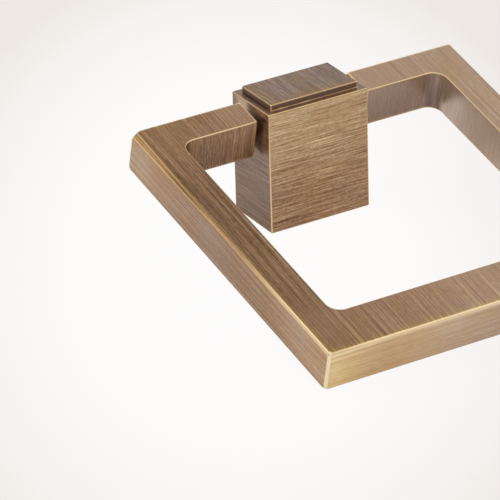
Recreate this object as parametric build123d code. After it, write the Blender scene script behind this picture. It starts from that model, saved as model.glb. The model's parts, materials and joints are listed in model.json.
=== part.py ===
from build123d import *
import os
from math import asin, atan2, degrees, hypot, radians, sqrt, tan

# Square ring pull for a cabinet or drawer front, in millimetres.
# The origin is the centre of the post's back face, +Z points out of the drawer front,
# X runs along the pivot and the ring hangs towards -Y.

# Ring: one piece of bar, open at the pivot side, where its two legs meet the post
ring_width = 60.0
ring_length = 60.0
ring_thickness = 7.1
left_bar_width = 5.75
right_bar_width = 5.5
far_bar_width = 8.25
leg_width = 5.6
leg_side_gap = 0.75
window_corner_radius = 2.3
back_corner_radius = 0.2
far_corner_radius = 0.5
arris_radius = 0.15
leg_end_radius = 0.2

# Hand dressing: the top outer arrises of the far bar and of the left side bar are eased, the left
# bar's upper corner at the pivot side is rubbed round, and from there a bevel runs out. Its two
# lower corners are rubbed a little
eased_arris_radius = 0.4
rubbed_corner_reach = 1.8
rubbed_corner_radius = 3.5
lower_corner_reach = 0.9
lower_corner_radius = 1.5
bevel_at_corner = 0.75
bevel_at_run_out = 0.25
bevel_run_out = 32.0

# Post: one block that carries the pivot
post_width = 18.6
post_depth = 11.3
post_height = 21.0
post_arris_radius = 0.15
bore_to_pocket_wall = 1.35

# Front plate, with a spigot that sits in a pocket of the post
plate_inset = 1.15
plate_height = 1.1
plate_arris_chamfer = 0.15
spigot_margin = 3.0
spigot_depth = 1.4
spigot_corner_radius = 1.0
spigot_clearance = 0.03
pocket_floor_clearance = 0.1

# Hole for the mounting screw, at the core diameter of an M4 thread
thread_core_diameter = 3.3
thread_depth = 10.0
drill_point_angle = 118.0

# Two sprung pivot pins, and the spring between them
pin_diameter = 3.0
pin_radial_clearance = 0.05
pin_in_leg = 3.0
pin_in_post = 4.5
pin_end_clearance = 0.2
pin_tip_chamfer = 0.5
pin_tail_chamfer = 0.15
fork_groove_width = 0.6
fork_groove_depth = 0.3
spring_wire_diameter = 0.4
spring_wire_sides = 6
spring_bore_clearance = 0.2
spring_seat_clearance = 0.02
spring_pitch = 1.8

# A rounded corner takes no more than this share of the narrower side
largest_corner_share = 0.4

# How near a face's plane an edge has to lie to count as on it
touch = 0.01

# Worked out from the sizes above
bore_diameter = pin_diameter + 2 * pin_radial_clearance
pivot_height = post_height - spigot_depth - pocket_floor_clearance - bore_to_pocket_wall - bore_diameter / 2
leg_end_x = post_width / 2 + leg_side_gap
pivot_to_far_face = ring_length - leg_width / 2


# Swing at which the far bar's lower arris touches the plane of the back face
def rest_angle():
    along = pivot_to_far_face - arris_radius
    across = ring_thickness / 2 - arris_radius
    drop = pivot_height - arris_radius
    return degrees(asin(drop / hypot(along, across)) - atan2(across, along))


# The ring is drawn flat, with the pivot on its X axis, and then swung to its rest
def at_rest(flat_shape):
    return Pos(0, 0, pivot_height) * Rot(rest_angle(), 0, 0) * flat_shape


# Drilled hole with its mouth at the origin, running down to a drill point at -Z
def drilled_hole(diameter, depth):
    point_height = diameter / 2 / tan(radians(drill_point_angle / 2))
    wall = Pos(0, 0, -depth / 2) * Cylinder(diameter / 2, depth)
    point = Pos(0, 0, -depth - point_height / 2) * Cone(0, diameter / 2, point_height)
    return wall + point


# Outer square less the window and less the gap in which the post stands
def ring_outline():
    back_y = leg_width / 2
    front_y = -pivot_to_far_face
    outer = Pos(0, (back_y + front_y) / 2) * Rectangle(ring_width, ring_length)
    corners = outer.vertices().sort_by(Axis.Y)
    outer = fillet(corners[:2], far_corner_radius)
    outer = fillet(outer.vertices().sort_by(Axis.Y)[-2:], back_corner_radius)
    window_width = ring_width - left_bar_width - right_bar_width
    window_length = ring_length - leg_width - far_bar_width
    window_x = (left_bar_width - right_bar_width) / 2
    window = RectangleRounded(window_width, window_length, window_corner_radius)
    window = Pos(window_x, -leg_width / 2 - window_length / 2) * window
    gap = Rectangle(2 * leg_end_x, 2 * leg_width)
    return outer - window - gap


def is_on_leg_end(shape):
    return abs(abs(shape.center().X) - leg_end_x) < touch


def is_on_window(edge):
    middle = edge.center()
    left_x, right_x = left_bar_width - ring_width / 2, ring_width / 2 - right_bar_width
    front_y, back_y = far_bar_width - pivot_to_far_face, -leg_width / 2
    beside = left_x - touch < middle.X < right_x + touch
    return beside and front_y - touch < middle.Y < back_y + touch


def is_on_outside(edge):
    return not is_on_window(edge)


# Edges of the bar's top and bottom faces, the arrises that a file or a belt breaks
def flat_face_edges(bar):
    faces = bar.faces().sort_by(Axis.Z)
    edges = faces[0].edges() + faces[-1].edges()
    return edges.filter_by(lambda edge: not is_on_leg_end(edge))


# What lies outside a ball that crosses a block's three edges at the same reach from their corner:
# the corner is the origin, and the block lies at +X, +Y and +Z
def rubbed_corner_cut(reach, radius):
    inset = (reach + sqrt(3 * radius**2 - 2 * reach**2)) / 3
    waste = Box(reach, reach, reach, align=(Align.MIN, Align.MIN, Align.MIN))
    return waste - Pos(inset, inset, inset) * Sphere(radius)


# The left bar's rubbed corners: the upper one by the pivot and both lower ones
def rubbed_corner_cuts():
    upper = rubbed_corner_cut(rubbed_corner_reach, rubbed_corner_radius)
    lower = rubbed_corner_cut(lower_corner_reach, lower_corner_radius)
    left, back, top = -ring_width / 2, leg_width / 2, ring_thickness / 2
    cuts = Pos(left, back, top) * Rot(180, 0, 0) * upper
    cuts += Pos(left, back, -top) * Rot(0, 0, -90) * lower
    cuts += Pos(left, -pivot_to_far_face, -top) * lower
    return cuts


# What lies outside a round along the edge of a block: the edge is the Y axis, the block at +X and -Z
def eased_arris_cut():
    waste = Box(eased_arris_radius, 3 * ring_length, eased_arris_radius, align=(Align.MIN, Align.CENTER, Align.MAX))
    round_bar = Rot(90, 0, 0) * Cylinder(eased_arris_radius, 4 * ring_length)
    return waste - Pos(eased_arris_radius, 0, -eased_arris_radius) * round_bar


# A plane that takes the left arris off: the bevel's legs shrink evenly along the bar
def bevel_cut():
    taper = (bevel_at_corner - bevel_at_run_out) / bevel_run_out
    start = Vector(-ring_width / 2 + bevel_at_corner, leg_width / 2, ring_thickness / 2)
    outwards = Vector(-1, taper, 1)
    waste = Box(ring_thickness, 3 * ring_length, ring_thickness, align=(Align.CENTER, Align.CENTER, Align.MIN))
    return Plane(origin=start, x_dir=(1, 0, 1), z_dir=outwards) * waste


# Blind bores in the leg ends, one facing the other, for the pivot pins
def leg_bores():
    hole = drilled_hole(bore_diameter, pin_in_leg + pin_end_clearance)
    left = Pos(-leg_end_x, 0, 0) * Rot(0, 90, 0) * hole
    right = Pos(leg_end_x, 0, 0) * Rot(0, -90, 0) * hole
    return left + right


def ring():
    bar = extrude(ring_outline(), ring_thickness / 2, both=True)
    bar = fillet(flat_face_edges(bar).filter_by(is_on_outside), arris_radius)
    bar = fillet(flat_face_edges(bar).filter_by(is_on_window), arris_radius)
    bar = fillet(bar.faces().filter_by(is_on_leg_end).edges(), leg_end_radius)
    bar -= Pos(-ring_width / 2, 0, ring_thickness / 2) * eased_arris_cut()
    bar -= Pos(0, -pivot_to_far_face, ring_thickness / 2) * Rot(0, 0, 90) * eased_arris_cut()
    return at_rest(bar - bevel_cut() - rubbed_corner_cuts() - leg_bores())


# Block with a bore across it for the pins, a tapped hole in its back and a pocket in its front
def post():
    block = Pos(0, 0, post_height / 2) * Box(post_width, post_depth, post_height)
    block = fillet(block.edges(), post_arris_radius)
    cross_bore = Pos(0, 0, pivot_height) * Rot(0, 90, 0) * Cylinder(bore_diameter / 2, 2 * post_width)
    screw_hole = Rot(180, 0, 0) * drilled_hole(thread_core_diameter, thread_depth)
    pocket = Pos(0, 0, post_height) * spigot(spigot_clearance, spigot_depth + pocket_floor_clearance)
    return block - cross_bore - screw_hole - pocket


# Rounded block below the plane of the post's front, grown by a clearance on every side
def spigot(clearance, depth):
    width = post_width - 2 * (plate_inset + spigot_margin - clearance)
    across = post_depth - 2 * (plate_inset + spigot_margin - clearance)
    corner = min(spigot_corner_radius, largest_corner_share * min(width, across))
    return extrude(RectangleRounded(width, across, corner), -depth)


def front_plate():
    width = post_width - 2 * plate_inset
    across = post_depth - 2 * plate_inset
    plate = Pos(0, 0, plate_height / 2) * Box(width, across, plate_height)
    plate = chamfer(plate.edges(), plate_arris_chamfer)
    return Pos(0, 0, post_height) * (plate + spigot(0, spigot_depth))


# Turned pin with its tip towards +X, and a groove in which a fork holds it back for fitting
def right_pin():
    tail_x = post_width / 2 - pin_in_post
    tip_x = leg_end_x + pin_in_leg
    radius = pin_diameter / 2
    pin = Pos((tail_x + tip_x) / 2, 0, 0) * Rot(0, 90, 0) * Cylinder(radius, tip_x - tail_x)
    pin = chamfer(pin.edges().sort_by(Axis.X)[-1], pin_tip_chamfer)
    pin = chamfer(pin.edges().sort_by(Axis.X)[0], pin_tail_chamfer)
    groove_x = post_width / 2 + leg_side_gap / 2
    groove = Cylinder(pin_diameter, fork_groove_width)
    groove -= Cylinder(radius - fork_groove_depth, fork_groove_width)
    return Pos(0, 0, pivot_height) * (pin - Pos(groove_x, 0, 0) * Rot(0, 90, 0) * groove)


def left_pin():
    return Rot(0, 0, 180) * right_pin()


# Open coil that holds the two pins apart
def pin_spring():
    gap_between_pins = post_width - 2 * pin_in_post
    coil_height = gap_between_pins - spring_wire_diameter - 2 * spring_seat_clearance
    coil_radius = bore_diameter / 2 - spring_bore_clearance - spring_wire_diameter / 2
    path = Helix(spring_pitch, coil_height, coil_radius)
    wire = RegularPolygon(spring_wire_diameter / 2, spring_wire_sides)
    coil = sweep(Plane(origin=path @ 0, z_dir=path % 0) * wire, path, is_frenet=True)
    return Pos(-coil_height / 2, 0, pivot_height) * Rot(0, 90, 0) * coil


parts = {
    "post": post(),
    "front_plate": front_plate(),
    "ring": ring(),
    "pivot_pin_left": left_pin(),
    "pivot_pin_right": right_pin(),
    "pin_spring": pin_spring(),
}

os.makedirs("parts", exist_ok=True)
for name, shape in parts.items():
    shape.label = name
    export_step(shape, f"parts/{name}.step")
    print(name, round(shape.volume, 1), "mm3")
print("rest swing", round(rest_angle(), 3), "degrees, travel", round(180 - 2 * rest_angle(), 2))
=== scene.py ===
import bpy
import json
import math
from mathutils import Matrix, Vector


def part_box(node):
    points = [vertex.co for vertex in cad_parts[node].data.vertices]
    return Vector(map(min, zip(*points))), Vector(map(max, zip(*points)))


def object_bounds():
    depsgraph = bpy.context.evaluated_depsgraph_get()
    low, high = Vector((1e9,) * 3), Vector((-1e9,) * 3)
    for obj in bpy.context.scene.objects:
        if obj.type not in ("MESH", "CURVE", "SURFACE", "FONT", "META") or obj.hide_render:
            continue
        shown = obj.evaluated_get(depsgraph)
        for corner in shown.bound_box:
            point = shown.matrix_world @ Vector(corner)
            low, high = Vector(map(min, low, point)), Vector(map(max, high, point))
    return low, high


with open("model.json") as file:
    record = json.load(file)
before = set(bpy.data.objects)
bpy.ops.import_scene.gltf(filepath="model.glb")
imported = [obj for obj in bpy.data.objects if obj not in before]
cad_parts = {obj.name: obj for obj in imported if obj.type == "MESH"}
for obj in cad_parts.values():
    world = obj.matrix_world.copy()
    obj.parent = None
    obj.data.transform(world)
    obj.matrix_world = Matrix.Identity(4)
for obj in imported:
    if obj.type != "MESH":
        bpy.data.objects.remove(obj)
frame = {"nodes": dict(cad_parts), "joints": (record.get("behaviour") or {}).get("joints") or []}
from types import SimpleNamespace
from mathutils import Vector

nodes = frame["nodes"]
cadBox = [list(corner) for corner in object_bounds()]
mm = 0.001
print("frame loaded:", ", ".join(sorted(nodes)))


# Shader maths
# A wire is one output of a node, and arithmetic on wires adds Math nodes
class Wire:
    def __init__(self, board, socket):
        self.board, self.socket = board, socket

    def __add__(self, other):
        return self.board.sum("ADD", self, other)

    def __radd__(self, other):
        return self.board.sum("ADD", other, self)

    def __sub__(self, other):
        return self.board.sum("SUBTRACT", self, other)

    def __rsub__(self, other):
        return self.board.sum("SUBTRACT", other, self)

    def __mul__(self, other):
        return self.board.sum("MULTIPLY", self, other)

    def __rmul__(self, other):
        return self.board.sum("MULTIPLY", other, self)

    def __truediv__(self, other):
        return self.board.sum("DIVIDE", self, other)

    def __pow__(self, other):
        return self.board.sum("POWER", self, other)

    def __neg__(self):
        return self.board.sum("MULTIPLY", self, -1)

    def __abs__(self):
        return self.board.sum("ABSOLUTE", self)


# A board is the node tree of one material or of the world
class Board:
    def __init__(self, tree):
        self.tree = tree
        tree.nodes.clear()

    # Any node: its settings first, then its sockets by identifier or name
    def node(self, kind, settings={}, sockets={}, out=None):
        made = self.tree.nodes.new("ShaderNode" + kind)
        for name, value in settings.items():
            if name == "stops":
                setStops(made.color_ramp.elements, value)
            else:
                setattr(made, name, value)
        for name, value in sockets.items():
            same = [s for s in made.inputs if s.identifier == name]
            same = same or [s for s in made.inputs if s.name == name]
            if isinstance(value, Wire):
                self.tree.links.new(value.socket, same[0])
            else:
                same[0].default_value = value
        if not made.outputs:
            return made
        named = [s for s in made.outputs if out in (s.identifier, s.name)]
        return Wire(self, (named or list(made.outputs))[0])

    def sum(self, operation, *values):
        return self.node("Math", {"operation": operation}, dict(zip(("Value", "Value_001"), values)))

    def least(self, *values):
        lowest = values[0]
        for value in values[1:]:
            lowest = self.sum("MINIMUM", lowest, value)
        return lowest

    def most(self, *values):
        highest = values[0]
        for value in values[1:]:
            highest = self.sum("MAXIMUM", highest, value)
        return highest

    # 0 at the first value and 1 at the second, smooth between them
    def fade(self, value, start, end):
        ends = {"Value": value, "From Min": start, "From Max": end}
        return self.node("MapRange", {"interpolation_type": "SMOOTHSTEP"}, ends)

    def mix(self, share, first, second):
        inputs = {"Factor_Float": share, "A_Color": first, "B_Color": second}
        return self.node("Mix", {"data_type": "RGBA"}, inputs, "Result_Color")

    def vector(self, x, y, z):
        return self.node("CombineXYZ", {}, {"X": x, "Y": y, "Z": z})

    def parts(self, vector):
        return [self.node("SeparateXYZ", {}, {"Vector": vector}, axis) for axis in "XYZ"]

    # Noise about 0, mostly within -1 and 1
    def noise(self, x, y, z, detail=2.0, gain=4.0):
        inputs = {"Vector": self.vector(x, y, z), "Scale": 1.0, "Detail": detail, "Roughness": 0.5}
        return (self.node("TexNoise", {}, inputs, "Fac") - 0.5) * gain

    # Noise in blots of a size along x, y and z, each shifted by its own amount
    def blots(self, place, sizes, shifts=(0, 0, 0), detail=3.0):
        return self.noise(*[p / size + shift for p, size, shift in zip(place, sizes, shifts)], detail=detail)

    def ramp(self, value, stops):
        return self.node("ValToRGB", {"stops": stops}, {"Fac": value}, "Color")


# A new ramp has two stops, and the others are added
def setStops(marks, stops):
    for i, (place, code) in enumerate(stops):
        mark = marks[i] if i < 2 else marks.new(place)
        mark.position, mark.color = place, colour(code)


# A colour as it is read off a screen, such as #a98863
def colour(code):
    parts = [int(code[i:i + 2], 16) / 255 for i in (1, 3, 5)]
    return [p / 12.92 if p <= 0.04045 else ((p + 0.055) / 1.055) ** 2.4 for p in parts] + [1.0]


def newBoard(name):
    material = bpy.data.materials.new(name)
    material.use_nodes = True
    return material, Board(material.node_tree)


# Place in millimetres and normal, both in a piece's own frame: turned about X by tilt at the centre
def ownFrame(board, tilt=0.0, height=0.0):
    coordinates = board.node("TexCoord", {}, {}, "Object")
    normals = board.node("TexCoord", {}, {}, "Normal")
    shift = (0, -height * math.sin(tilt), -height * math.cos(tilt))
    turned = {"Location": shift, "Rotation": (-tilt, 0, 0), "Scale": (1 / mm, 1 / mm, 1 / mm)}
    place = board.node("Mapping", {}, {"Vector": coordinates, **turned})
    facing = board.node("Mapping", {"vector_type": "VECTOR"}, {"Vector": normals, "Rotation": (-tilt, 0, 0)})
    return board.parts(place), board.parts(facing)


def blend(share, first, second):
    return first + (second - first) * share


# A sum of marks, each by its own share
def weighed(start, marks, shares):
    for name, mark in marks.items():
        start = start + mark * shares[name]
    return start


# Masks by name: each is 0 at one value of a measure and 1 at another
def masksOf(board, stretches, measures):
    masks = {name: board.fade(measures[along], *ends) for name, (along, *ends) in stretches.items()}
    return SimpleNamespace(**masks)


# Height of the pivot above the drawer front, in millimetres
def pivotHeight():
    swing = next(joint for joint in frame["joints"] if joint["child"] == "pull_ring")
    return swing["pos_m"][2] / mm


# Brushing: noise drawn out along one axis, as fine hairs, streaks, broad bands, single scratches and
# short fuzz. Each kind has its own shift and detail. A slow drift across moves the fine ones, which
# keeps them from lying evenly apart
driftDraw = {"shift": 87.7, "detail": 1.0}
lineDraws = {"hair": {"shift": 0.0, "detail": 0.0, "drifts": True},
             "streak": {"shift": 17.3, "detail": 1.0, "drifts": True},
             "band": {"shift": 41.9, "detail": 2.0, "drifts": False},
             "scratch": {"shift": 63.1, "detail": 0.0, "drifts": True},
             "fuzz": {"shift": 29.5, "detail": 0.0, "drifts": False}}
scratchSeen = (0.5, 0.9)


def brushing(board, place, along, look):
    def drawn(kind, draw, points):
        width, length = look[kind + "Width"], look[kind + "Length"]
        stretched = [p / (length if i == along else width) for i, p in enumerate(points)]
        seed = look["seeds"][along] + draw["shift"]
        return board.noise(*[p + seed for p in stretched], detail=draw["detail"])
    drift = drawn("drift", driftDraw, place) * look["drift"]
    drifted = [p if i == along else p + drift for i, p in enumerate(place)]
    return {kind: drawn(kind, draw, drifted if draw["drifts"] else place) for kind, draw in lineDraws.items()}


# How much the brushing lifts or lowers the tone, about 0
def relief(look, grain):
    board = grain["hair"].board
    bright, dark = [board.fade(grain["scratch"] * side, *scratchSeen) for side in (1, -1)]
    strength = 1 + grain["band"] * look["clumping"]
    lines = (grain["hair"] * look["hairShare"] + grain["streak"] * look["streakShare"]) * strength
    lines = lines + grain["fuzz"] * look["fuzzShare"] + grain["band"] * look["bandShare"]
    return lines + bright * look["scratchLift"] - dark * look["scratchDrop"]


# Colours by how light they are on a screen: fresh patina, cold patina and the olive of thin patina
warmTones = [(0.00, "#120c07"), (0.20, "#43301f"), (0.30, "#63452e"), (0.40, "#815c3e"), (0.50, "#9e7856"),
             (0.60, "#ba956f"), (0.70, "#d1b085"), (0.80, "#e7cda0"), (0.90, "#f5e4c0"), (1.00, "#fff6e2")]
coldTones = [(0.00, "#100e0c"), (0.30, "#54473e"), (0.40, "#736055"), (0.50, "#8f796b"), (0.60, "#aa9281"),
             (0.70, "#c2ae9c"), (0.80, "#dbcab9"), (1.00, "#fff6ee")]
oliveTones = [(0.00, "#110e06"), (0.30, "#554626"), (0.45, "#80692f"), (0.60, "#ab9145"), (0.75, "#d2b974"),
              (1.00, "#fff4cf")]
patinaSeen = {"cold": (-0.1, 1.1), "olive": (0.1, 1.1)}
coatIor = 1.5


# The finished brass: its tone is 0 to 1 on the ramps, and the shares say which patina lies there
def brassShader(board, tone, cold, olive, height, roughness, look, gold=0.0):
    base = board.mix(cold, board.ramp(tone, warmTones), board.ramp(tone, coldTones))
    base = board.mix(olive, base, board.ramp(tone, oliveTones))
    base = board.mix(gold, base, colour(look["gold"])) if gold else base
    bump = board.node("Bump", {}, {
        "Strength": look["bumpStrength"], "Distance": look["bumpDepth"] * mm, "Height": height})
    shader = board.node("BsdfPrincipled", {}, {
        "Base Color": base, "Metallic": 1.0, "Roughness": roughness, "Normal": bump,
        "Coat Weight": look["coat"], "Coat Roughness": look["coatRoughness"], "Coat IOR": coatIor})
    board.node("OutputMaterial", {}, {"Surface": shader})


# Ring, measured in its own frame: X to the right leg, Y back to the pivot, Z out of its top
ringFinish = {
    # Millimetres, as the part has them, and how far the wear of the eased arris and of the tip is moved; the
    # eased arris's band is moved down to where its highlight falls, so it is partly painted highlight
    "shape": {"thickness": 7.1, "leftBar": 5.75, "rightBar": 5.5, "farBar": 8.25, "leg": 5.6,
              "legEnd": 10.05, "windowRadius": 2.3, "sunk": 0.18, "tipSunk": 0.25, "tipReach": 0.1},
    # The left bar's bevel: its legs in millimetres, then its edge and creases in shares of a leg
    "bevel": {"atCorner": 0.75, "atRunOut": 0.25, "runOut": 32.0, "narrowest": 0.33, "edge": (1.5, 1.15),
              "ragged": 0.03, "creases": 0.9, "sideCrease": (0.32, 0.08), "topCrease": (0.26, 0.06)},
    # Bare arrises: radius, raggedness, and how many radii away they start and are full
    "wear": {"outer": (0.15, 0.2, 1.4, 0.8), "eased": (0.4, 0.08, 1.25, 0.65),
             "upright": (0.5, 0.08, 1.2, 0.6), "window": (0.15, 0.25, 1.6, 0.8),
             "end": (0.2, 0.5, 2.3, 1.3), "back": (0.2, 0.2, 1.8, 0.9), "tip": (1.0, 0.0, 0.8, 0.5)},
    "look": {"hairWidth": 0.18, "hairLength": 22.0, "streakWidth": 0.3, "streakLength": 35.0,
             "bandWidth": 1.5, "bandLength": 60.0, "scratchWidth": 0.19, "scratchLength": 24.0,
             "fuzzWidth": 0.18, "fuzzLength": 1.0, "driftWidth": 0.8, "driftLength": 60.0, "drift": 0.1,
             "hairShare": 2.1, "streakShare": 0.36, "bandShare": 0.2, "scratchLift": 1.8,
             "scratchDrop": 0.7, "fuzzShare": 0.9, "clumping": 0.5, "leftBarHair": 0.5,
             "seeds": (7.7, 3.1, 11.9), "wobbleSize": (1.3, 1.3, 1.3), "waveSize": (1.3, 1.3, 3.0),
             "wave": 0.2, "cloudSize": (9.0, 9.0, 9.0), "cloudShift": (0, 0, 5),
             "fogSize": (5.0, 7.0, 5.0), "fogShift": (31, 0, 0),
             "bumpStrength": 0.3, "bumpDepth": 0.012, "hairDepth": 0.5, "streakDepth": 0.6,
             "pivotCornerDepth": 0.8, "coat": 0.25, "coatRoughness": 0.3, "roughness": 0.37,
             "roughStreaks": 0.03, "thinSmoother": 0.07, "broadRougher": 0.06,
             "gold": "#efba6e", "goldEnds": 0.85, "goldSideCrease": 0.08, "goldTopCrease": 0.12},
    "tones": {"topLeft": 0.427, "topRise": 0.153, "topRight": 0.022, "leftBarDip": 0.035,
              "side": 0.565, "sideDip": 0.05, "sideNear": 0.03, "sideCorner": 0.045,
              "farFace": 0.665, "farCorner": 0.095, "farRight": 0.035,
              "legWall": 0.425, "legWallRight": 0.10, "legWallUpper": 0.04, "legWallLower": 0.03,
              "legWallCorner": 0.04, "legWallEndLight": 0.09,
              "barWall": 0.672, "barWallNear": 0.03, "barWallBack": 0.12, "barWallCorner": 0.035,
              "innerCornerShade": 0.01, "bendGlintShade": 0.07, "cloud": 0.014, "cloudOutside": 0.016,
              "bare": 0.72, "bareBelow": 0.6, "bareHidden": 0.64, "bareEnd": 0.25, "bareBack": 0.2,
              "eased": 0.8, "easedLeft": 0.05, "upright": 0.88, "blotches": 0.03, "specks": 0.02,
              "bevel": 0.45, "merged": 0.77, "bevelLines": 0.03, "mergedLines": 0.7, "bevelStart": 0.045,
              "topCrease": 0.54, "topCreaseMerged": 0.2, "sideCrease": 0.6, "sideCreaseMerged": 0.18},
    # How strongly the brushing shows
    "contrast": {"topLeft": 0.05, "topFall": 0.03, "nearHalfLess": 0.3, "legLess": 0.25, "farTop": 0.027,
                 "pivotCornerLess": 0.4, "wall": 0.03, "leftLegWall": 0.005, "farFaceLess": 0.01,
                 "rightInnerLess": 0.016},
    # What each mark adds to the tone, to the cold patina and to the olive
    "lifts": {"besideEased": 0.03, "underEasedSheen": 0.14, "endGlow": 0.2, "backRim": 0.08, "lowRim": 0.1,
              "nearTop": 0.035, "pivotTop": 0.02},
    "underShares": {"merged": 0.6, "nearEnd": 0.5},
    "cold": {"right": 0.5, "rightTopBack": -0.07, "farRight": 0.25, "farRightTop": -0.15, "walls": 0.34,
             "leftLegWall": -0.34, "rightBarWall": -0.3, "farFace": -0.15, "farFaceRight": 0.14,
             "nearCorner": -0.27, "nearSide": -0.28, "cloud": 0.25, "cloudOutside": 0.32,
             "bare": 0.18, "easedBare": 0.08},
    "olive": {"fog": 0.3, "besideEased": 0.38, "endGlow": 0.1, "lowRim": 0.4, "leftTop": 0.12,
              "nearCorner": 0.35, "backRim": 0.3, "bevel": 0.25, "bare": 0.08},
    # Where one finish fades into the next: along which measure, from where and to where
    "stretches": {
        "flat": ("turnZ", 0.55, 0.8), "sideways": ("turnX", 0.5, 0.8), "above": ("z", 0, 1),
        "below": ("z", 0, -2), "atWindow": ("fromWindow", 0.5, 0.25), "atEnd": ("fromEnd", 0.35, 0.1),
        "onFar": ("fromFar", 0.5, 0.2), "right": ("x", -36, 4), "farRight": ("x", 6, 30),
        "rightPart": ("x", 0, 20), "rightCorner": ("x", 15, 20), "leftBar": ("x", -22, -25),
        "hairyPart": ("y", -48, -40), "pastLeg": ("y", -4, -16), "topDipEnds": ("y", -56, -40),
        "sideDipEnds": ("y", -50, -36), "sideNear": ("y", -42, -56), "sideCorner": ("y", -8, 0),
        "farCorner": ("x", -20, -29), "farToRight": ("x", -12, 6), "nearCorner": ("x", -22, -29),
        "legToRight": ("x", -12, 12), "legUpper": ("fromTop", 4, 0.5), "legLower": ("fromTop", 3, 6.5),
        "legCorner": ("x", -19.5, -23.5), "legEndX": ("x", -15.5, -11.5), "legEndLeft": ("x", 0, -5),
        "leftLeg": ("x", 5, -5), "legTopX": ("x", -22, -18), "legTopY": ("y", -8, -5),
        "barNear": ("y", -10, -22), "barBack": ("y", -12, -6), "barUpper": ("fromTop", 5, 1.5),
        "barCorner": ("y", -15, -8), "ontoBar": ("turnX", 0.8, 0.975), "bendStarts": ("turnX", 0.3, 0.6),
        "bendEnds": ("turnX", 0.995, 0.93), "glintStarts": ("turnX", 0.08, 0.3),
        "glintEnds": ("turnX", 0.75, 0.5), "nearHalf": ("y", -28, -40), "farTop": ("y", -45, -49),
        "pivotY": ("y", -10, -2), "pivotX": ("x", -22, -26), "merged": ("y", -22, -46),
        "bevelStart": ("y", -14, -4), "easedFar": ("fromFarArris", 0.7, 0.5),
        "besideFar": ("fromFar", 1.6, 0.4), "besideLeft": ("fromLeft", 1.3, 0.45),
        "underTop": ("fromTop", 1.2, 0.35), "nearEnd": ("y", -50, -57), "endGlow": ("fromEnd", 1.1, 0.4),
        "endGlowAbove": ("fromTop", 7.5, 3.5), "lowRim": ("fromBottom", 0.6, 0.2),
        "backRim": ("fromBack", 0.5, 0.25), "nearTopX": ("x", -19, -26), "nearTopY": ("y", -43, -50),
        "missedLegY": ("y", -5.9, -6.1), "missedLegX": ("x", -20, -22), "missedFar": ("y", -45, -46),
        "missedAt": ("fromWindow", 2, 1), "endArris": ("fromEnd", 0.5, 0.3),
        "backArris": ("fromBack", 0.5, 0.3), "uprightFull": ("fromTop", 0, 0.6),
        "easedLeft": ("fromLeft", 9, 1), "coldBack": ("y", -30, -5), "pastBarCorner": ("y", -9, -16),
        "nearSide": ("y", -38, -56), "oliveLeft": ("x", -18, -26)},
}


# How deep a point lies behind each wall of the bar
def measureRing(board):
    shape, look = ringFinish["shape"], ringFinish["look"]
    widest = max(nodes["ring"].data.polygons, key=lambda face: face.area).normal
    tilt = math.atan2(-widest.y, widest.z) if widest.z > 0 else math.atan2(widest.y, -widest.z)
    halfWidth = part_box("ring")[1].x / mm
    back, far, top = shape["leg"] / 2, 2 * halfWidth - shape["leg"] / 2, shape["thickness"] / 2
    (x, y, z), (nx, _, nz) = ownFrame(board, tilt, pivotHeight())
    windowX, windowY = (shape["leftBar"] - shape["rightBar"]) / 2, (shape["farBar"] - back - far) / 2
    halfX = halfWidth - (shape["leftBar"] + shape["rightBar"]) / 2 - shape["windowRadius"]
    halfY = (far - shape["farBar"] - back) / 2 - shape["windowRadius"]
    pastX = board.most(abs(x - windowX) - halfX, 0)
    pastY = board.most(abs(y - windowY) - halfY, 0)
    return SimpleNamespace(
        x=x, y=y, z=z, turnX=abs(nx), turnZ=abs(nz),
        fromSide=halfWidth - abs(x), fromLeft=x + halfWidth, fromBack=back - y, fromFar=y + far,
        fromFlat=top - abs(z), fromTop=top - z, fromBottom=z + top,
        fromFarArris=board.most(y + far, top - z),
        fromWindow=board.sum("SQRT", pastX * pastX + pastY * pastY) - shape["windowRadius"],
        fromEnd=board.most(abs(abs(x) - shape["legEnd"]), -y - shape["leg"]),
        wobble=board.blots((x, y, z), look["wobbleSize"]))


# Which wall or corner a point is on
def ringWalls(board, at):
    window, end = at.atWindow * (1 - at.flat), at.atEnd * (1 - at.flat)
    inner, farFace = board.most(window, end), at.onFar * (1 - at.flat)
    return SimpleNamespace(
        window=window, inner=inner, farFace=farFace, outside=(1 - at.flat) * (1 - inner),
        leftLegWall=inner * (1 - at.sideways) * at.leftLeg, legTop=at.legTopX * at.legTopY,
        pivotCorner=at.pivotY * at.pivotX, nearCorner=farFace * at.nearCorner)


# Arrises that handling has rubbed bare, thin ones and broad ones
def wearRing(board, spot, at):
    shape = ringFinish["shape"]
    distances = {
        "outer": board.most(spot.fromFlat, board.least(spot.fromSide, spot.fromBack, spot.fromFar)),
        "eased": board.most(spot.fromTop - shape["sunk"], spot.fromFar + shape["sunk"]),
        "upright": board.most(spot.fromSide, spot.fromFar),
        "window": board.most(spot.fromFlat, spot.fromWindow),
        "end": board.most(spot.fromEnd, board.least(spot.fromFlat, spot.fromBack, spot.fromWindow)),
        "back": board.most(spot.fromSide, spot.fromBack),
        "tip": board.most(spot.fromTop - shape["tipSunk"], spot.fromFar + shape["tipReach"],
                          spot.fromSide + shape["tipReach"])}
    wear = SimpleNamespace()
    for kind, distance in distances.items():
        radius, ragged, start, full = ringFinish["wear"][kind]
        setattr(wear, kind, board.fade(distance / radius + spot.wobble * ragged, start, full))
    wear.thin = board.most(wear.outer * (1 - at.easedFar), wear.window, wear.end, wear.back)
    wear.broad = board.most(wear.eased, wear.upright, wear.tip)
    wear.any = board.most(wear.thin, wear.broad)
    return wear


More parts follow.
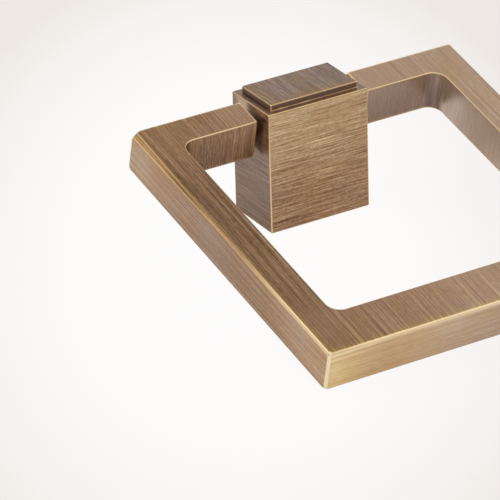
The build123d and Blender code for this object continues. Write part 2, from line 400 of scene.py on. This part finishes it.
# The bevel: two bright creases with olive patina between, which merge as it runs out
def bevelRing(board, spot, at):
    bevel = ringFinish["bevel"]
    narrowing = (bevel["atCorner"] - bevel["atRunOut"]) / bevel["runOut"]
    leg = board.most(bevel["atCorner"] - spot.fromBack * narrowing, bevel["narrowest"])
    sunk = at.merged * ringFinish["shape"]["sunk"]
    on = board.fade(board.most(spot.fromLeft + sunk, spot.fromTop - sunk) / leg, *bevel["edge"])
    across = (spot.fromLeft - spot.fromTop) / leg + spot.wobble * bevel["ragged"]
    side = board.fade(abs(across + bevel["creases"]), *bevel["sideCrease"]) * on
    top = board.fade(abs(across - bevel["creases"]), *bevel["topCrease"]) * on
    return SimpleNamespace(on=on, sideCrease=side, topCrease=top)


# Brushed along the bars on top and outside, and across the bar on the window's walls
def brushRing(board, spot, at, on):
    look = ringFinish["look"]
    place = (spot.x, spot.y, spot.z)
    wavy = board.blots(place, look["waveSize"], detail=2.0) * look["wave"]
    grainY = brushing(board, place, 1, look)
    grainX = brushing(board, place, 0, look)
    grainZ = brushing(board, (spot.x + wavy, spot.y + wavy, spot.z), 2, look)
    grain = {}
    for kind in lineDraws:
        walls = blend(at.sideways, grainX[kind], grainY[kind])
        grain[kind] = blend(at.flat, blend(on.inner, walls, grainZ[kind]), grainY[kind])
    extraHair = grain["hair"] * at.flat * at.leftBar * at.hairyPart
    return grain, relief(look, grain) + extraHair * look["leftBarHair"]


# Tone of each wall before the brushing
def ringWallTone(at, on):
    tones = ringFinish["tones"]
    top = tones["topLeft"] + at.right * tones["topRise"] + at.farRight * tones["topRight"]
    top = top - at.leftBar * at.pastLeg * at.topDipEnds * tones["leftBarDip"]
    side = tones["side"] - at.pastLeg * at.sideDipEnds * tones["sideDip"]
    side = side + at.sideNear * tones["sideNear"] + at.sideCorner * tones["sideCorner"]
    far = tones["farFace"] + at.farCorner * tones["farCorner"] - at.farToRight * tones["farRight"]
    leg = tones["legWall"] + at.legToRight * tones["legWallRight"] + at.legUpper * tones["legWallUpper"]
    leg = leg - at.legLower * tones["legWallLower"] - at.legCorner * tones["legWallCorner"]
    # Painted light: the left leg's inner wall is lifted near its end by the pivot, against the shade that
    # falls there
    leg = leg + at.legEndX * at.legEndLeft * tones["legWallEndLight"]
    bar = tones["barWall"] + at.barNear * tones["barWallNear"]
    bar = bar + at.barBack * at.barUpper * at.rightPart * tones["barWallBack"]
    bar = bar + at.barCorner * at.rightPart * tones["barWallCorner"]
    window = blend(at.ontoBar, leg, bar)
    # Painted shade: the window's wall is darker in the bend into the right bar, and darker still where a
    # glint falls on that bend
    window = window - at.bendStarts * at.bendEnds * at.rightCorner * tones["innerCornerShade"]
    window = window - at.glintStarts * at.glintEnds * at.rightCorner * tones["bendGlintShade"]
    return blend(at.flat, blend(on.inner, blend(on.farFace, side, far), window), top)


def ringContrast(at, on):
    shares = ringFinish["contrast"]
    top = (shares["topLeft"] - at.right * shares["topFall"]) * (1 - at.nearHalf * shares["nearHalfLess"])
    top = top * (1 - on.legTop * (1 - at.right) * shares["legLess"])
    top = blend(at.farTop, top, shares["farTop"]) * (1 - on.pivotCorner * shares["pivotCornerLess"])
    wall = shares["wall"] + on.leftLegWall * shares["leftLegWall"] - on.farFace * shares["farFaceLess"]
    return at.flat * top + (1 - at.flat) * (wall - on.inner * at.right * shares["rightInnerLess"])


# Lighter strips beside arrises, at the leg's end and on rims; the strip under the eased arris is partly wear
# and partly painted highlight
def ringMarks(board, at, on):
    under = ringFinish["underShares"]
    outsideUnder = on.outside * (at.merged * under["merged"] + at.nearEnd * under["nearEnd"])
    return {
        "besideEased": board.most(at.besideFar, at.besideLeft * at.merged) * at.flat * at.above,
        "underEasedSheen": at.underTop * board.most(on.farFace, outsideUnder),
        "endGlow": at.endGlow * on.window * at.endGlowAbove,
        "backRim": at.backRim * at.flat * at.above,
        "lowRim": at.lowRim * on.window * (1 - at.sideways),
        "nearTop": at.nearTopX * at.nearTopY * at.flat,
        "pivotTop": at.flat * on.pivotCorner}


# Tone with the bare arrises and the bevel on it: the arrises that hands miss are darker
def ringTone(board, spot, at, on, wear, bevel, brushed, grain, lines):
    tones = ringFinish["tones"]
    missed = board.most(at.missedLegY * at.missedLegX, at.missedFar) * at.missedAt
    thin = blend(at.below, tones["bare"], tones["bareBelow"]) - missed * (tones["bare"] - tones["bareHidden"])
    thin = thin + at.endArris * on.window * tones["bareEnd"] + at.backArris * at.above * tones["bareBack"]
    # The upright corner is rubbed bare, and lighter still as painted highlight where low light from the front
    # left falls on it
    broad = blend(wear.upright * at.uprightFull, tones["eased"], tones["upright"])
    broad = broad - at.easedLeft * at.onFar * (1 - wear.upright) * tones["easedLeft"]
    blotches = grain["band"] * tones["blotches"]
    speckle = blotches + spot.wobble * tones["specks"]
    tone = blend(wear.thin, brushed, thin + speckle)
    tone = blend(wear.broad, tone, broad + speckle)
    face = blend(at.merged, tones["bevel"] + blotches, tones["merged"])
    face = face + lines * tones["bevelLines"] * (1 - at.merged * tones["mergedLines"])
    topCrease = tones["topCrease"] + at.merged * tones["topCreaseMerged"]
    sideCrease = tones["sideCrease"] + at.merged * tones["sideCreaseMerged"] + blotches
    face = blend(bevel.sideCrease, blend(bevel.topCrease, face, topCrease), sideCrease)
    return blend(bevel.on, tone, face + at.bevelStart * tones["bevelStart"])


# Shares of the cold patina and of the olive
def ringPatina(board, spot, at, on, wear, bevel, marks, cloud):
    look, coldShares, oliveShares = ringFinish["look"], ringFinish["cold"], ringFinish["olive"]
    cold = weighed(0, {
        "right": at.right, "rightTopBack": at.right * at.flat * at.coldBack,
        "farRight": at.farRight, "farRightTop": at.farRight * at.flat,
        "walls": 1 - at.flat, "leftLegWall": on.leftLegWall,
        "rightBarWall": on.inner * at.sideways * at.farRight * at.pastBarCorner,
        "farFace": on.farFace, "farFaceRight": on.farFace * at.right, "nearCorner": on.nearCorner,
        "nearSide": on.outside * at.nearSide,
        "cloud": cloud, "cloudOutside": cloud * (on.outside - on.farFace)}, coldShares)
    cold = board.fade(cold, *patinaSeen["cold"]) * (1 - wear.any) * (1 - bevel.on)
    cold = cold + wear.any * coldShares["bare"] + wear.eased * coldShares["easedBare"]
    fog = board.blots((spot.x, spot.y, spot.z), look["fogSize"], look["fogShift"])
    stains = {name: marks[name] for name in ("besideEased", "endGlow", "lowRim", "backRim")}
    stains["fog"] = board.fade(fog, *patinaSeen["olive"])
    stains["leftTop"] = at.flat * at.oliveLeft
    stains["nearCorner"] = on.nearCorner
    olive = weighed(0, stains, oliveShares) * (1 - wear.any)
    olive = olive + bevel.on * (1 - at.merged) * oliveShares["bevel"] + wear.any * oliveShares["bare"]
    return cold, board.least(olive, 1)


def ringBrass():
    look, tones = ringFinish["look"], ringFinish["tones"]
    material, board = newBoard("ringBrass")
    spot = measureRing(board)
    at = masksOf(board, ringFinish["stretches"], vars(spot))
    on = ringWalls(board, at)
    wear, bevel = wearRing(board, spot, at), bevelRing(board, spot, at)
    grain, lines = brushRing(board, spot, at, on)
    marks = ringMarks(board, at, on)
    cloud = board.blots((spot.x, spot.y, spot.z), look["cloudSize"], look["cloudShift"])
    brushed = ringWallTone(at, on) + ringContrast(at, on) * lines
    brushed = brushed + cloud * (tones["cloud"] + on.outside * tones["cloudOutside"])
    brushed = weighed(brushed, marks, ringFinish["lifts"])
    tone = ringTone(board, spot, at, on, wear, bevel, brushed, grain, lines)
    cold, olive = ringPatina(board, spot, at, on, wear, bevel, marks, cloud)
    height = (grain["hair"] * look["hairDepth"] + grain["streak"] * look["streakDepth"]) * (1 - wear.any)
    height = height * (1 - marks["pivotTop"] * look["pivotCornerDepth"])
    roughness = look["roughness"] + grain["streak"] * look["roughStreaks"]
    roughness = roughness - wear.thin * look["thinSmoother"] + wear.broad * look["broadRougher"]
    creases = bevel.sideCrease * look["goldSideCrease"] + bevel.topCrease * look["goldTopCrease"]
    gold = wear.end * on.window * look["goldEnds"] + creases * (1 - at.merged)
    brassShader(board, tone, cold, olive, height, roughness, look, gold)
    return material


# Post
postFinish = {
    "look": {"hairWidth": 0.17, "hairLength": 7.0, "streakWidth": 0.28, "streakLength": 11.0,
             "bandWidth": 1.4, "bandLength": 16.0, "scratchWidth": 0.19, "scratchLength": 7.0,
             "fuzzWidth": 0.2, "fuzzLength": 0.5, "driftWidth": 0.8, "driftLength": 12.0, "drift": 0.09,
             "hairShare": 1.7, "streakShare": 0.28, "bandShare": 0.22, "scratchLift": 0.8,
             "scratchDrop": 0.7, "fuzzShare": 0.7, "clumping": 0.4, "plateInset": 1.15,
             "seeds": (5.3, 13.1), "wobbleSize": (1.1, 1.1, 1.1), "waveSize": (6.0, 6.0, 3.0),
             "waveShift": (0, 0, 9), "wave": 0.07, "sideSlant": 0.05, "cloudSize": (8.0, 8.0, 8.0),
             "cloudShift": (0, 0, 2), "fogSize": (5.0, 5.0, 5.0), "fogShift": (31, 0, 0),
             "bumpStrength": 0.35, "bumpDepth": 0.012, "hairDepth": 0.5, "streakDepth": 0.7,
             "coat": 0.25, "coatRoughness": 0.3, "roughness": 0.37, "roughStreaks": 0.03,
             "bareSmoother": 0.07},
    "tones": {"low": 0.515, "high": 0.7, "rise": 1.2, "side": 0.44, "ledge": 0.5, "bare": 0.66,
              "rim": 0.04, "upright": 0.14, "foot": 0.88, "pivotShade": 0.43, "overPivot": 0.23,
              "pivotEdge": 0.06, "near": 0.06, "sideways": 0.036, "cloud": 0.012, "blotches": 0.03},
    # Painted shade: the dark patch where the leg's end shades the wall beside the pivot and shows darkly in
    # it, in millimetres
    "shade": {"halfWidth": 3.4, "halfHeight": 4.8, "below": 1.2, "edge": (1.6, -0.6)},
    "wear": {"ragged": 0.03, "edge": (0.21, 0.12), "upright": (0.25, 0.15)},
    "foot": {"ragged": 0.02, "edge": (0.13, 0.02)},
    "cold": {"cloud": 0.3, "sideways": 0.47, "nearPivot": -0.5, "ledge": 0.6, "all": 0.18, "foot": 0.5},
    "olive": {"fog": 0.08, "bare": 0.3},
    "stretches": {"flat": ("turnZ", 0.55, 0.8), "sideways": ("turnX", 0.5, 0.8),
                  "rim": ("fromTop", 1.4, 0.3), "overPivot": ("overPivot", -2.5, 2),
                  "pivotEdge": ("y", -3.8, -5.2), "ledge": ("fromTop", 0.5, 0.2),
                  "footNear": ("y", -3, -4.4), "warmEdge": ("y", -2.5, -4.5)},
    "riseFrom": 3.5,
}


def postBrass():
    look, tones, wearing = postFinish["look"], postFinish["tones"], postFinish["wear"]
    shade, foot, coldShares = postFinish["shade"], postFinish["foot"], postFinish["cold"]
    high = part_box("post")[1]
    halfX, halfY, top = high.x / mm, high.y / mm, high.z / mm
    material, board = newBoard("postBrass")
    (x, y, z), (nx, _, nz) = ownFrame(board)
    fromX, fromY, fromZ = halfX - abs(x), halfY - abs(y), board.least(z, top - z)
    overPivot = z - pivotHeight()
    at = masksOf(board, postFinish["stretches"], {
        "y": y, "turnX": abs(nx), "turnZ": abs(nz), "fromTop": top - z, "overPivot": overPivot})
    wobble = board.blots((x, y, z), look["wobbleSize"])
    edge = board.least(board.most(fromX, fromY), board.most(fromX, fromZ), board.most(fromY, fromZ))
    wear = board.fade(edge + wobble * wearing["ragged"], *wearing["edge"])

    wave = board.blots((x, y, z), look["waveSize"], look["waveShift"], detail=2.0) * look["wave"]
    grainX = brushing(board, (x, y, z + wave), 0, look)
    grainY = brushing(board, (x, y, z + y * look["sideSlant"]), 1, look)
    grain = {kind: blend(at.sideways, grainX[kind], grainY[kind]) for kind in lineDraws}
    near = blend(board.fade(z, postFinish["riseFrom"], top) ** tones["rise"], tones["low"], tones["high"])
    near = near + at.rim * tones["rim"]
    # Painted shade on the side walls beside the pivot, where the leg's end shades them: lighter above the
    # pivot and towards the near arris
    beside = board.most(abs(y) - shade["halfWidth"], abs(overPivot + shade["below"]) - shade["halfHeight"])
    shaded = board.fade(beside, *shade["edge"])
    side = blend(shaded, tones["side"], tones["pivotShade"] + at.overPivot * tones["overPivot"])
    side = side + shaded * at.pivotEdge * tones["pivotEdge"]
    cloud = board.blots((x, y, z), look["cloudSize"], look["cloudShift"])
    contrast = blend(at.sideways, tones["near"], tones["sideways"])
    brushed = blend(at.sideways, near, side) + contrast * relief(look, grain) + cloud * tones["cloud"]
    ledge = at.flat * at.ledge
    brushed = blend(ledge, brushed, tones["ledge"])
    inset = board.most(abs(x) - halfX, abs(y) - halfY) + look["plateInset"]
    atFoot = board.fade(inset + wobble * foot["ragged"], *foot["edge"]) * ledge * at.footNear
    brushed = blend(atFoot, brushed, tones["foot"])
    upright = board.fade(board.most(fromX, fromY), *wearing["upright"]) * tones["upright"]
    speckle = (grain["band"] + wobble) * tones["blotches"]
    tone = blend(wear, brushed, tones["bare"] + upright + speckle)

    # The painted shade beside the pivot is warmer towards the near arris
    cold = weighed(coldShares["all"], {
        "cloud": cloud, "sideways": at.sideways, "nearPivot": at.sideways * shaded * at.warmEdge,
        "ledge": ledge}, coldShares)
    cold = board.fade(cold, *patinaSeen["cold"]) * (1 - wear) * (1 - atFoot * coldShares["foot"])
    fog = board.blots((x, y, z), look["fogSize"], look["fogShift"])
    fog = board.fade(fog, *patinaSeen["olive"])
    olive = weighed(0, {"fog": fog * (1 - wear), "bare": wear}, postFinish["olive"])
    height = (grain["hair"] * look["hairDepth"] + grain["streak"] * look["streakDepth"]) * (1 - wear)
    roughness = look["roughness"] + grain["streak"] * look["roughStreaks"] - wear * look["bareSmoother"]
    brassShader(board, tone, cold, olive, height, roughness, look)
    return material


# Front plate
plateFinish = {
    "look": {"hairWidth": 0.2, "hairLength": 5.0, "streakWidth": 0.34, "streakLength": 9.0,
             "bandWidth": 1.5, "bandLength": 30.0, "scratchWidth": 0.22, "scratchLength": 8.0,
             "fuzzWidth": 0.2, "fuzzLength": 0.6, "driftWidth": 0.8, "driftLength": 20.0, "drift": 0.1,
             "hairShare": 1.4, "streakShare": 0.8, "bandShare": 0.8, "scratchLift": 1.7,
             "scratchDrop": 0.8, "fuzzShare": 0.9, "clumping": 0.4, "seeds": (0.0, 19.7),
             "wobbleSize": (1.1, 1.1, 1.1), "cloudSize": (7.0, 9.0, 1.0), "cloudShift": (0, 0, 3.5),
             "bumpStrength": 0.3, "bumpDepth": 0.012, "hairDepth": 0.5, "streakDepth": 0.6,
             "coat": 0.25, "coatRoughness": 0.3, "roughness": 0.35, "roughStreaks": 0.03},
    "tones": {"top": 0.488, "topLines": 0.042, "wall": 0.425, "wallStreaks": 0.02, "bare": 0.62,
              "upright": 0.25, "blotches": 0.04, "seam": 0.84, "drops": 0.14, "seamSpecks": 0.06},
    "wear": {"ragged": 0.02, "edge": (0.2, 0.1), "upright": (0.3, 0.2)},
    # The bright seam at the foot: how high it stands, and where along X its drops are
    "seam": {"ragged": 0.03, "edge": (0.17, 0.06), "drops": (-6.2, -1.6), "dropEdge": (1.5, 0.1),
             "dropRagged": 0.4, "dropHeight": 0.06, "onSides": 0.3, "coldLess": 0.3},
    "cold": {"all": 0.95, "warmth": 0.45, "cloud": 0.4, "cloudSeen": (0, 0.8)},
    "olive": {"specks": 0.3, "specksSeen": (0, 1), "warmth": 0.35},
    "stretches": {"flat": ("turnUp", 0.55, 0.8), "near": ("turnBack", -0.5, -0.8),
                  "left": ("x", -3, -8), "front": ("y", -1, -4.5)},
}


def plateBrass():
    look, tones, wearing = plateFinish["look"], plateFinish["tones"], plateFinish["wear"]
    seaming, coldShares, oliveShares = plateFinish["seam"], plateFinish["cold"], plateFinish["olive"]
    high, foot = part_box("front_plate")[1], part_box("post")[1].z / mm
    material, board = newBoard("plateBrass")
    (x, y, z), (_, ny, nz) = ownFrame(board)
    at = masksOf(board, plateFinish["stretches"], {"x": x, "y": y, "turnUp": nz, "turnBack": ny})
    fromX, fromY, fromTop = high.x / mm - abs(x), high.y / mm - abs(y), high.z / mm - z
    wobble = board.blots((x, y, z), look["wobbleSize"])
    edge = board.least(board.most(fromX, fromY), board.most(board.least(fromX, fromY), fromTop))
    wear = board.fade(edge + wobble * wearing["ragged"], *wearing["edge"])

    ragged = wobble * seaming["dropRagged"]
    drops = [board.fade(abs(x - place + ragged), *seaming["dropEdge"]) for place in seaming["drops"]]
    drop = board.most(*drops)
    seamTop = z - foot + wobble * seaming["ragged"] - drop * at.near * seaming["dropHeight"]
    seam = board.fade(seamTop, *seaming["edge"]) * (1 - at.flat) * blend(at.near, seaming["onSides"], 1)
    grain = brushing(board, (x, y, z), 1, look)
    wall = tones["wall"] + grain["streak"] * tones["wallStreaks"]
    brushed = blend(at.flat, wall, tones["top"] + relief(look, grain) * tones["topLines"])
    upright = board.fade(board.most(fromX, fromY), *wearing["upright"]) * (1 - at.flat) * tones["upright"]
    tone = blend(wear, brushed, tones["bare"] + upright + grain["band"] * tones["blotches"])
    tone = blend(seam, tone, tones["seam"] + drop * tones["drops"] + wobble * tones["seamSpecks"])

    cloud = board.blots((x, y, 0), look["cloudSize"], look["cloudShift"], detail=2.0)
    warmth = board.most(at.left, at.front) * coldShares["warmth"]
    warmth = at.flat * (warmth + board.fade(cloud, *coldShares["cloudSeen"]) * coldShares["cloud"])
    cold = (coldShares["all"] - warmth) * (1 - wear) * (1 - seam * seaming["coldLess"])
    olive = board.fade(wobble, *oliveShares["specksSeen"]) * oliveShares["specks"]
    olive = olive + warmth * oliveShares["warmth"]
    height = grain["hair"] * look["hairDepth"] + grain["streak"] * look["streakDepth"]
    height = height * at.flat * (1 - wear)
    roughness = look["roughness"] + grain["streak"] * look["roughStreaks"]
    brassShader(board, tone, cold, olive, height, roughness, look)
    return material


# Pins and spring, both steel: the turned rings of a pin, the drawn streaks of the wire
steelFinish = {
    "pins": {"name": "turnedSteel", "light": "#8c7458", "dark": "#5e4b38", "ringWidth": 0.08},
    "spring": {"name": "drawnWire", "light": "#a5a39d", "dark": "#6b6964", "ringWidth": 0.1},
    "ringLength": 4.0, "stainSize": (1.5, 1.5, 1.5), "stainShift": (0, 0, 3), "shares": 0.6,
    "bumpStrength": 0.3, "bumpDepth": 0.01, "roughness": 0.3, "roughRings": 0.04,
}


def steel(kind):
    look, own = steelFinish, steelFinish[kind]
    material, board = newBoard(own["name"])
    place, _ = ownFrame(board)
    rings = board.blots(place, (own["ringWidth"], look["ringLength"], look["ringLength"]), detail=2.0)
    stain = board.blots(place, look["stainSize"], look["stainShift"])
    lightness = board.fade((rings + stain) * look["shares"], -1, 1)
    base = board.mix(lightness, colour(own["dark"]), colour(own["light"]))
    bump = board.node("Bump", {}, {
        "Strength": look["bumpStrength"], "Distance": look["bumpDepth"] * mm, "Height": rings})
    shader = board.node("BsdfPrincipled", {}, {
        "Base Color": base, "Metallic": 1.0, "Roughness": look["roughness"] + rings * look["roughRings"],
        "Normal": bump})
    board.node("OutputMaterial", {}, {"Surface": shader})
    return material


pinSteel = steel("pins")
finishes = {"ring": ringBrass(), "post": postBrass(), "front_plate": plateBrass(),
            "pivot_pin_left": pinSteel, "pivot_pin_right": pinSteel, "pin_spring": steel("spring")}
for name, finish in finishes.items():
    nodes[name].data.materials.clear()
    nodes[name].data.materials.append(finish)
print("finishes on", len(finishes), "pieces")


# Floor: pale, with painted shade that makes it a little greyer away from the middle
floorLook = {"size": 12.0, "middle": (-0.0150, -0.0065), "across": (20.9, -12.6), "deep": (6.2, 9.1),
             "fallOff": 0.42, "seenShare": 0.94, "reflectedShare": 0.45,
             "white": "#fffefe", "rim": "#ece7e2", "own": "#f2f0ee"}


def makeFloor():
    look = floorLook
    bpy.ops.object.select_all(action="DESELECT")
    bpy.ops.mesh.primitive_plane_add(size=look["size"], location=(0, 0, 0))
    floor = bpy.context.object
    floor.name = "floor"
    material, board = newBoard("paleFloor")
    x, y, _ = board.parts(board.node("TexCoord", {}, {}, "Object"))
    offX, offY = x - look["middle"][0], y - look["middle"][1]
    across = offX * look["across"][0] + offY * look["across"][1]
    deep = offX * look["deep"][0] + offY * look["deep"][1]
    away = board.sum("SQRT", across * across + deep * deep)
    share = board.least(away * away * away * look["fallOff"], 1)
    seen = board.mix(share, colour(look["white"]), colour(look["rim"]))
    rays = ("Is Camera Ray", "Is Glossy Ray", "Is Transmission Ray")
    direct, glossy, through = [board.node("LightPath", {}, {}, ray) for ray in rays]
    glowing = direct * look["seenShare"] + board.least(glossy + through, 1) * look["reflectedShare"]
    lit = board.node("BsdfDiffuse", {}, {"Color": colour(look["own"])})
    glow = board.node("Emission", {}, {"Color": seen, "Strength": 1.0})
    mixed = board.node("MixShader", {}, {"Fac": glowing, "Shader": lit, "Shader_001": glow})
    board.node("OutputMaterial", {}, {"Surface": mixed})
    floor.data.materials.append(material)


makeFloor()
print("floor laid")

# Light: a soft white room, lighter in front than behind, and two softboxes
roomLook = {"towards": (-0.25, -0.75, 0.6), "behind": 0.6, "before": 1.15, "seen": "#ece7e2"}


def lightRoom():
    look = roomLook
    world = bpy.data.worlds.new("softRoom")
    world.use_nodes = True
    bpy.context.scene.world = world
    board = Board(world.node_tree)
    heading = board.node("TexCoord", {}, {}, "Generated")
    aim = tuple(Vector(look["towards"]).normalized())
    inputs = {"Vector": heading, "Vector_001": aim}
    turned = board.node("VectorMath", {"operation": "DOT_PRODUCT"}, inputs, "Value")
    level = look["behind"] + board.fade(turned, -1, 1) * (look["before"] - look["behind"])
    room = board.node("Background", {}, {"Color": (1, 1, 1, 1), "Strength": level})
    backdrop = board.node("Background", {}, {"Color": colour(look["seen"]), "Strength": 1.0})
    direct = board.node("LightPath", {}, {}, "Is Camera Ray")
    mixed = board.node("MixShader", {}, {"Fac": direct, "Shader": room, "Shader_001": backdrop})
    board.node("OutputWorld", {}, {"Surface": mixed})


softboxes = {
    "frontBox": {"from": (0.45, -0.75, 0.5), "away": 0.55, "size": 0.30, "watts": 0.13},
    "backBox": {"from": (-0.62, 0.52, 0.59), "away": 0.55, "size": 0.30, "watts": 0.18},
}


def addSoftbox(name, box):
    lamp = bpy.data.lights.new(name, "AREA")
    lamp.shape, lamp.size, lamp.energy = "SQUARE", box["size"], box["watts"]
    holder = bpy.data.objects.new(name, lamp)
    bpy.context.scene.collection.objects.link(holder)
    side = Vector(box["from"]).normalized()
    middle = (Vector(cadBox[0]) + Vector(cadBox[1])) / 2
    holder.location = middle + side * box["away"]
    holder.rotation_euler = side.to_track_quat("Z", "Y").to_euler()


lightRoom()
for name, box in softboxes.items():
    addSoftbox(name, box)
print("lit by the room and", len(softboxes), "softboxes")

# Camera: far off with a long lens, turned as it was held
cameraSet = {"place": (-0.336407, -0.558182, 0.322158), "turn": (63.1481, 1.6024, -31.1159),
             "lens": 321.41, "sensor": 36.0, "clip": (0.05, 20.0)}
lens = bpy.data.cameras.new("camera")
lens.lens, lens.sensor_width = cameraSet["lens"], cameraSet["sensor"]
lens.clip_start, lens.clip_end = cameraSet["clip"]
camera = bpy.data.objects.new("camera", lens)
camera.location = cameraSet["place"]
camera.rotation_euler = [math.radians(turn) for turn in cameraSet["turn"]]
bpy.context.scene.collection.objects.link(camera)
bpy.context.scene.camera = camera
bpy.context.scene.view_settings.view_transform = "Standard"
print("camera set")
